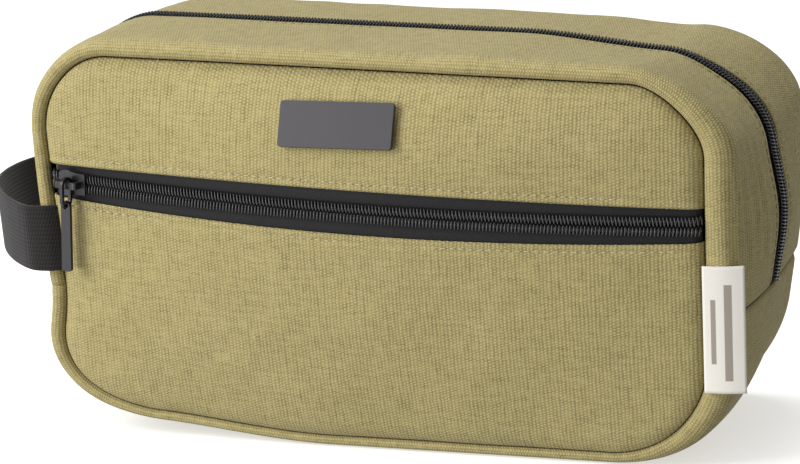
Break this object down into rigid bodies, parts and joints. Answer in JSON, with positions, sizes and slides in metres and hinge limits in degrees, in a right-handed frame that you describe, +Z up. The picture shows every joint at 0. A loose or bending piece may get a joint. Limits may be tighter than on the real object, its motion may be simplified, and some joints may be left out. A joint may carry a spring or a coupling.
{
  "type": "shaving kit bag",
  "caption": "Soft canvas wash bag with a zip over the top and both sides, a zipped front pocket, a webbing carry loop, a side label and a metal plate.",
  "frame": {"origin": "on the flat underside, midway along the bag and midway between its two seams", "axes": "+X to the right seen from the front, -Y out of the pocket's front, +Z up"},
  "size_m": [0.3186, 0.1267, 0.1536],
  "materials": {
    "canvas": "khaki cotton canvas, plain weave, matt",
    "lining": "dull olive polyester lining cloth",
    "zip_tape": "black woven polyester zip tape",
    "zip_coil": "black nylon coil, slight shine",
    "webbing": "black ribbed cotton webbing",
    "binding": "black seam binding tape",
    "gunmetal": "dark gunmetal plated zinc, satin",
    "plate": "dark grey satin plate",
    "label": "off-white cotton tape"
  },
  "bodies": {
    "bag": {"back_panel": "canvas", "base_gusset": "canvas", "carry_loop_back_end": "webbing", "carry_loop_front_end": "webbing", "front_upper_panel": "canvas", "lining_back_panel": "lining", "lining_base": "lining", "lining_gusset_back_left": "lining", "lining_gusset_back_right": "lining", "lining_gusset_front_left": "lining", "lining_gusset_front_right": "lining", "main_zip_coil_back_left": "zip_coil", "main_zip_coil_back_right": "zip_coil", "main_zip_coil_front_left": "zip_coil", "main_zip_coil_front_right": "zip_coil", "main_zip_tape_back_left": "zip_tape", "main_zip_tape_back_right": "zip_tape", "main_zip_tape_front_left": "zip_tape", "main_zip_tape_front_right": "zip_tape", "metal_plate": "plate", "plate_backing": "gunmetal", "pocket_panel": "canvas", "pocket_wall": "lining", "pocket_zip_coil_lower": "zip_coil", "pocket_zip_coil_upper": "zip_coil", "pocket_zip_tape_lower": "zip_tape", "pocket_zip_tape_upper": "zip_tape", "seam_binding_back": "binding", "seam_binding_front": "binding", "side_label": "label", "zip_gusset_back_left": "canvas", "zip_gusset_back_right": "canvas", "zip_gusset_front_left": "canvas", "zip_gusset_front_right": "canvas"},
    "front_lip": {"lining_gusset_front_lip": "lining", "main_zip_coil_front_lip": "zip_coil", "main_zip_tape_front_lip": "zip_tape", "zip_gusset_front_lip": "canvas"},
    "back_lip": {"lining_gusset_back_lip": "lining", "main_zip_coil_back_lip": "zip_coil", "main_zip_tape_back_lip": "zip_tape", "zip_gusset_back_lip": "canvas"},
    "pocket_slider": {"pocket_zip_slider": "gunmetal"},
    "pocket_pull": {"pocket_zip_link": "gunmetal", "pocket_zip_pull": "gunmetal"},
    "main_slider": {"main_zip_slider": "gunmetal"},
    "main_pull": {"main_zip_link": "gunmetal", "main_zip_pull": "gunmetal"},
    "carry_loop": {"carry_loop": "webbing"}
  },
  "joints": [
    {"name": "front_lip_fold", "type": "hinge", "parent": "bag", "child": "front_lip", "pos_m": [0, -0.0515, 0.1431], "axis": [0.9995, 0, -0.0306], "range_deg": [0, 65]},
    {"name": "back_lip_fold", "type": "hinge", "parent": "bag", "child": "back_lip", "pos_m": [0, 0.0515, 0.1431], "axis": [-0.9995, 0, 0.0306], "range_deg": [0, 65]},
    {"name": "pocket_slider_travel", "type": "hinge", "parent": "bag", "child": "pocket_slider", "pos_m": [0.00147, 0.4952, 0.13283], "axis": [0.0366, -0.0712, 0.9968], "range_deg": [0, 23.5]},
    {"name": "pocket_pull_swing", "type": "hinge", "parent": "pocket_slider", "child": "pocket_pull", "pos_m": [-0.11708, -0.06064, 0.09786], "axis": [-0.9774, 0.2053, 0.0505], "range_deg": [0, 150]},
    {"name": "main_slider_travel", "type": "slide", "parent": "bag", "child": "main_slider", "axis": [-0.0698, 0, 0.9976], "range_m": [0, 0.038]},
    {"name": "main_pull_swing", "type": "hinge", "parent": "main_slider", "child": "main_pull", "pos_m": [-0.13742, 0, 0.06712], "axis": [0, 1, 0], "range_deg": [0, 140]},
    {"name": "carry_loop_tilt", "type": "hinge", "parent": "bag", "child": "carry_loop", "pos_m": [-0.138, 0, 0.0758], "axis": [0, 1, 0], "range_deg": [-20, 20]}
  ]
}
